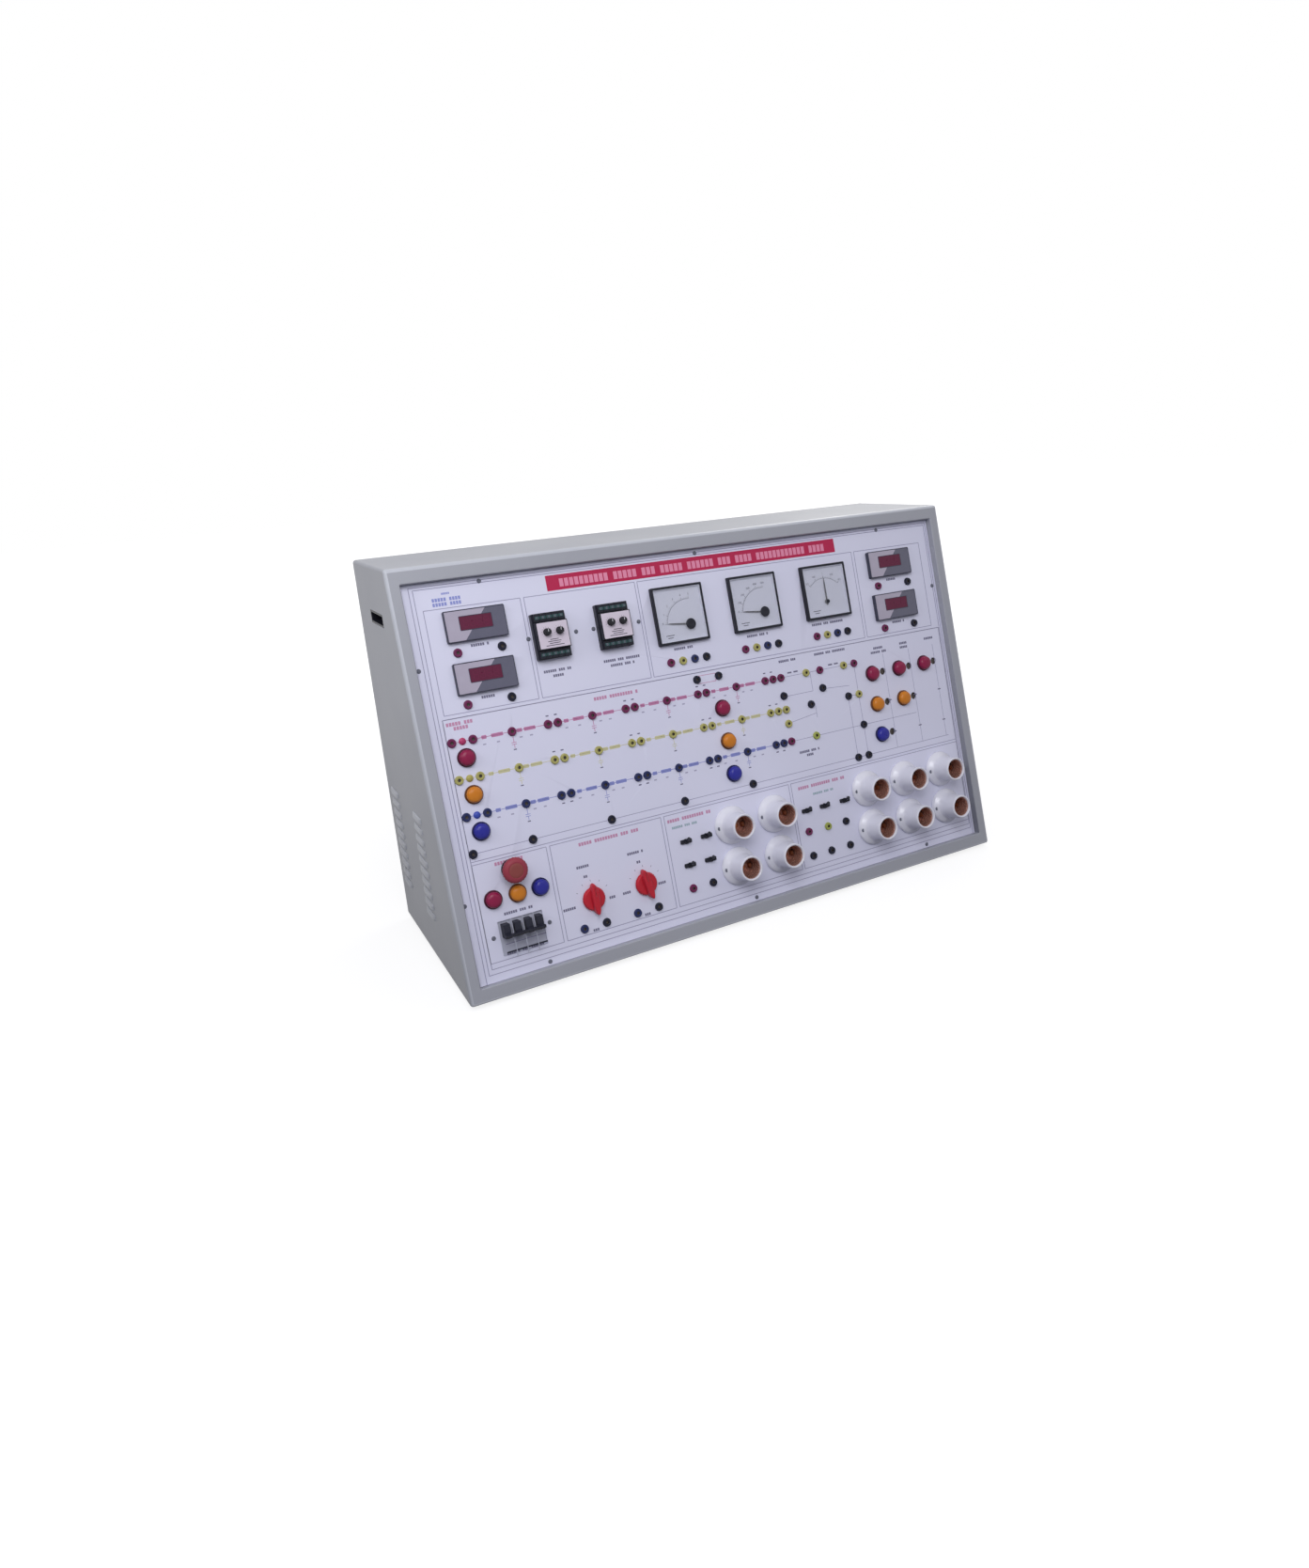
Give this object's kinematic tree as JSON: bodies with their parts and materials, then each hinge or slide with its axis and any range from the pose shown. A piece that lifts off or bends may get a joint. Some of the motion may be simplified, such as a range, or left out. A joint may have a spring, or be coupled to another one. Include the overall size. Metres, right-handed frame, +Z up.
{
  "type": "power system protection trainer",
  "caption": "Sloping steel bench console for transmission line protection teaching, with meters, relays, patch sockets, pilot lamps, switches and lamp holders.",
  "frame": {"origin": "on the bench, under the middle of the object's overall box", "axes": "+Z up, +X to the right as the user sees the panel, and the panel faces -Y"},
  "size_m": [1.05, 0.3954, 0.648],
  "materials": {
    "cabinet_enamel": "fine satin grey-green powder coat",
    "panel_lacquer": "pale lavender-white satin, with plain printed circuit lines",
    "grip_moulding": "matt black",
    "foot_rubber": "matt black",
    "meter_fascia": "glossy dark grey fascia with a dark red display",
    "dial_case": "dark bezel, white dial",
    "needle": "matt black",
    "relay_case": "black case with a pale setting face",
    "setting_knob": "black",
    "phase_red": "glossy dark red",
    "phase_yellow": "glossy amber and yellow",
    "phase_blue": "glossy dark blue",
    "neutral_black": "glossy black",
    "instrument_sockets": "black board with red, yellow, blue and black sockets",
    "breaker_case": "satin grey",
    "breaker_lever": "black",
    "stop_body": "black",
    "stop_plunger": "turned",
    "stop_head": "dull red",
    "selector_board": "black board with blue and black sockets",
    "selector_red": "bright red",
    "switch_board": "black board with red, green and black sockets",
    "toggle_lever": "black",
    "holder_white": "white, with a brown inside",
    "chassis_steel": "plated sheet with dark wound parts",
    "transformer": "dark laminations and a taped winding"
  },
  "bodies": {
    "console": {"side_panel_left": "cabinet_enamel", "side_grip_left": "grip_moulding", "foot_strip_left": "foot_rubber", "side_panel_right": "cabinet_enamel", "side_grip_right": "grip_moulding", "foot_strip_right": "foot_rubber", "top_panel": "cabinet_enamel", "base_panel": "cabinet_enamel", "back_cover": "cabinet_enamel", "faceplate": "panel_lacquer", "line_model_chassis": "chassis_steel", "supply_transformer": "transformer", "panel_meter_left_upper": "meter_fascia", "panel_meter_left_lower": "meter_fascia", "panel_meter_right_upper": "meter_fascia", "panel_meter_right_lower": "meter_fascia", "dial_meter_1": "dial_case", "dial_meter_2": "dial_case", "dial_meter_3": "dial_case", "relay_1": "relay_case", "relay_2": "relay_case", "socket_board_red": "phase_red", "socket_board_yellow": "phase_yellow", "socket_board_blue": "phase_blue", "socket_board_neutral": "neutral_black", "instrument_socket_board": "instrument_sockets", "supply_lamps": "phase_red", "breaker_body": "breaker_case", "stop_body": "stop_body", "selector_board": "selector_board", "switch_board": "switch_board", "lamp_holder_01": "holder_white", "lamp_holder_02": "holder_white", "lamp_holder_03": "holder_white", "lamp_holder_04": "holder_white", "lamp_holder_05": "holder_white", "lamp_holder_06": "holder_white", "lamp_holder_07": "holder_white", "lamp_holder_08": "holder_white", "lamp_holder_09": "holder_white", "lamp_holder_10": "holder_white"},
    "needle_1": {"dial_needle_1": "needle"},
    "needle_2": {"dial_needle_2": "needle"},
    "needle_3": {"dial_needle_3": "needle"},
    "relay_1_left_knob": {"relay_1_knob_left": "setting_knob"},
    "relay_1_right_knob": {"relay_1_knob_right": "setting_knob"},
    "relay_2_left_knob": {"relay_2_knob_left": "setting_knob"},
    "relay_2_right_knob": {"relay_2_knob_right": "setting_knob"},
    "breaker_lever": {"breaker_handle": "breaker_lever"},
    "stop_plunger_body": {"stop_plunger": "stop_plunger"},
    "stop_head_body": {"stop_head": "stop_head"},
    "selector_1": {"selector_knob_1": "selector_red"},
    "selector_2": {"selector_knob_2": "selector_red"},
    "toggle_1": {"toggle_lever_1": "toggle_lever"},
    "toggle_2": {"toggle_lever_2": "toggle_lever"},
    "toggle_3": {"toggle_lever_3": "toggle_lever"},
    "toggle_4": {"toggle_lever_4": "toggle_lever"},
    "toggle_5": {"toggle_lever_5": "toggle_lever"},
    "toggle_6": {"toggle_lever_6": "toggle_lever"},
    "toggle_7": {"toggle_lever_7": "toggle_lever"}
  },
  "joints": [
    {"name": "dial_needle_1_swing", "type": "hinge", "parent": "console", "child": "needle_1", "pos_m": [-0.03902, -0.04924, 0.50391], "axis": [0, 0.9701, -0.2425], "range_deg": [0, 90], "stiffness_Nm_per_rad": 0.0002},
    {"name": "dial_needle_2_swing", "type": "hinge", "parent": "console", "child": "needle_2", "pos_m": [0.10903, -0.04924, 0.50391], "axis": [0, 0.9701, -0.2425], "range_deg": [0, 90], "stiffness_Nm_per_rad": 0.0002},
    {"name": "dial_needle_3_swing", "type": "hinge", "parent": "console", "child": "needle_3", "pos_m": [0.24444, -0.04924, 0.50391], "axis": [0, 0.9701, -0.2425], "range_deg": [-45, 45], "stiffness_Nm_per_rad": 0.0002},
    {"name": "relay_1_left_setting", "type": "hinge", "parent": "console", "child": "relay_1_left_knob", "pos_m": [-0.29851, -0.06041, 0.5293], "axis": [0, 0.9701, -0.2425], "range_deg": [-135, 135]},
    {"name": "relay_1_right_setting", "type": "hinge", "parent": "console", "child": "relay_1_right_knob", "pos_m": [-0.27752, -0.06041, 0.5293], "axis": [0, 0.9701, -0.2425], "range_deg": [-135, 135]},
    {"name": "relay_2_left_setting", "type": "hinge", "parent": "console", "child": "relay_2_left_knob", "pos_m": [-0.18932, -0.06041, 0.5293], "axis": [0, 0.9701, -0.2425], "range_deg": [-135, 135]},
    {"name": "relay_2_right_setting", "type": "hinge", "parent": "console", "child": "relay_2_right_knob", "pos_m": [-0.16831, -0.06041, 0.5293], "axis": [0, 0.9701, -0.2425], "range_deg": [-135, 135]},
    {"name": "breaker_throw", "type": "hinge", "parent": "console", "child": "breaker_lever", "pos_m": [-0.42157, -0.15339, 0.10256], "axis": [-1, 0, 0], "range_deg": [0, 60]},
    {"name": "stop_push", "type": "slide", "parent": "console", "child": "stop_plunger_body", "axis": [0, 0.9701, -0.2425], "range_m": [0, 0.005], "stiffness_N_per_m": 400, "springref_m": -0.002},
    {"name": "stop_twist", "type": "hinge", "parent": "stop_plunger_body", "child": "stop_head_body", "pos_m": [-0.42147, -0.15577, 0.19608], "axis": [0, 0.9701, -0.2425], "range_deg": [0, 45], "stiffness_Nm_per_rad": 0.02},
    {"name": "selector_1_turn", "type": "hinge", "parent": "console", "child": "selector_1", "pos_m": [-0.29746, -0.14436, 0.10979], "axis": [0, 0.9701, -0.2425], "range_deg": [-60, 60]},
    {"name": "selector_2_turn", "type": "hinge", "parent": "console", "child": "selector_2", "pos_m": [-0.20349, -0.14436, 0.10979], "axis": [0, 0.9701, -0.2425], "range_deg": [-50, 70]},
    {"name": "toggle_1_throw", "type": "hinge", "parent": "console", "child": "toggle_1", "pos_m": [-0.11792, -0.13472, 0.15866], "axis": [1, 0, 0], "range_deg": [0, 50]},
    {"name": "toggle_2_throw", "type": "hinge", "parent": "console", "child": "toggle_2", "pos_m": [-0.07844, -0.13464, 0.15898], "axis": [1, 0, 0], "range_deg": [0, 50]},
    {"name": "toggle_3_throw", "type": "hinge", "parent": "console", "child": "toggle_3", "pos_m": [-0.11792, -0.14458, 0.11923], "axis": [1, 0, 0], "range_deg": [0, 50]},
    {"name": "toggle_4_throw", "type": "hinge", "parent": "console", "child": "toggle_4", "pos_m": [-0.07844, -0.14458, 0.11923], "axis": [1, 0, 0], "range_deg": [0, 50]},
    {"name": "toggle_5_throw", "type": "hinge", "parent": "console", "child": "toggle_5", "pos_m": [0.12862, -0.13559, 0.1552], "axis": [1, 0, 0], "range_deg": [0, 50]},
    {"name": "toggle_6_throw", "type": "hinge", "parent": "console", "child": "toggle_6", "pos_m": [0.168, -0.13559, 0.1552], "axis": [1, 0, 0], "range_deg": [0, 50]},
    {"name": "toggle_7_throw", "type": "hinge", "parent": "console", "child": "toggle_7", "pos_m": [0.21263, -0.13559, 0.1552], "axis": [1, 0, 0], "range_deg": [0, 50]}
  ]
}
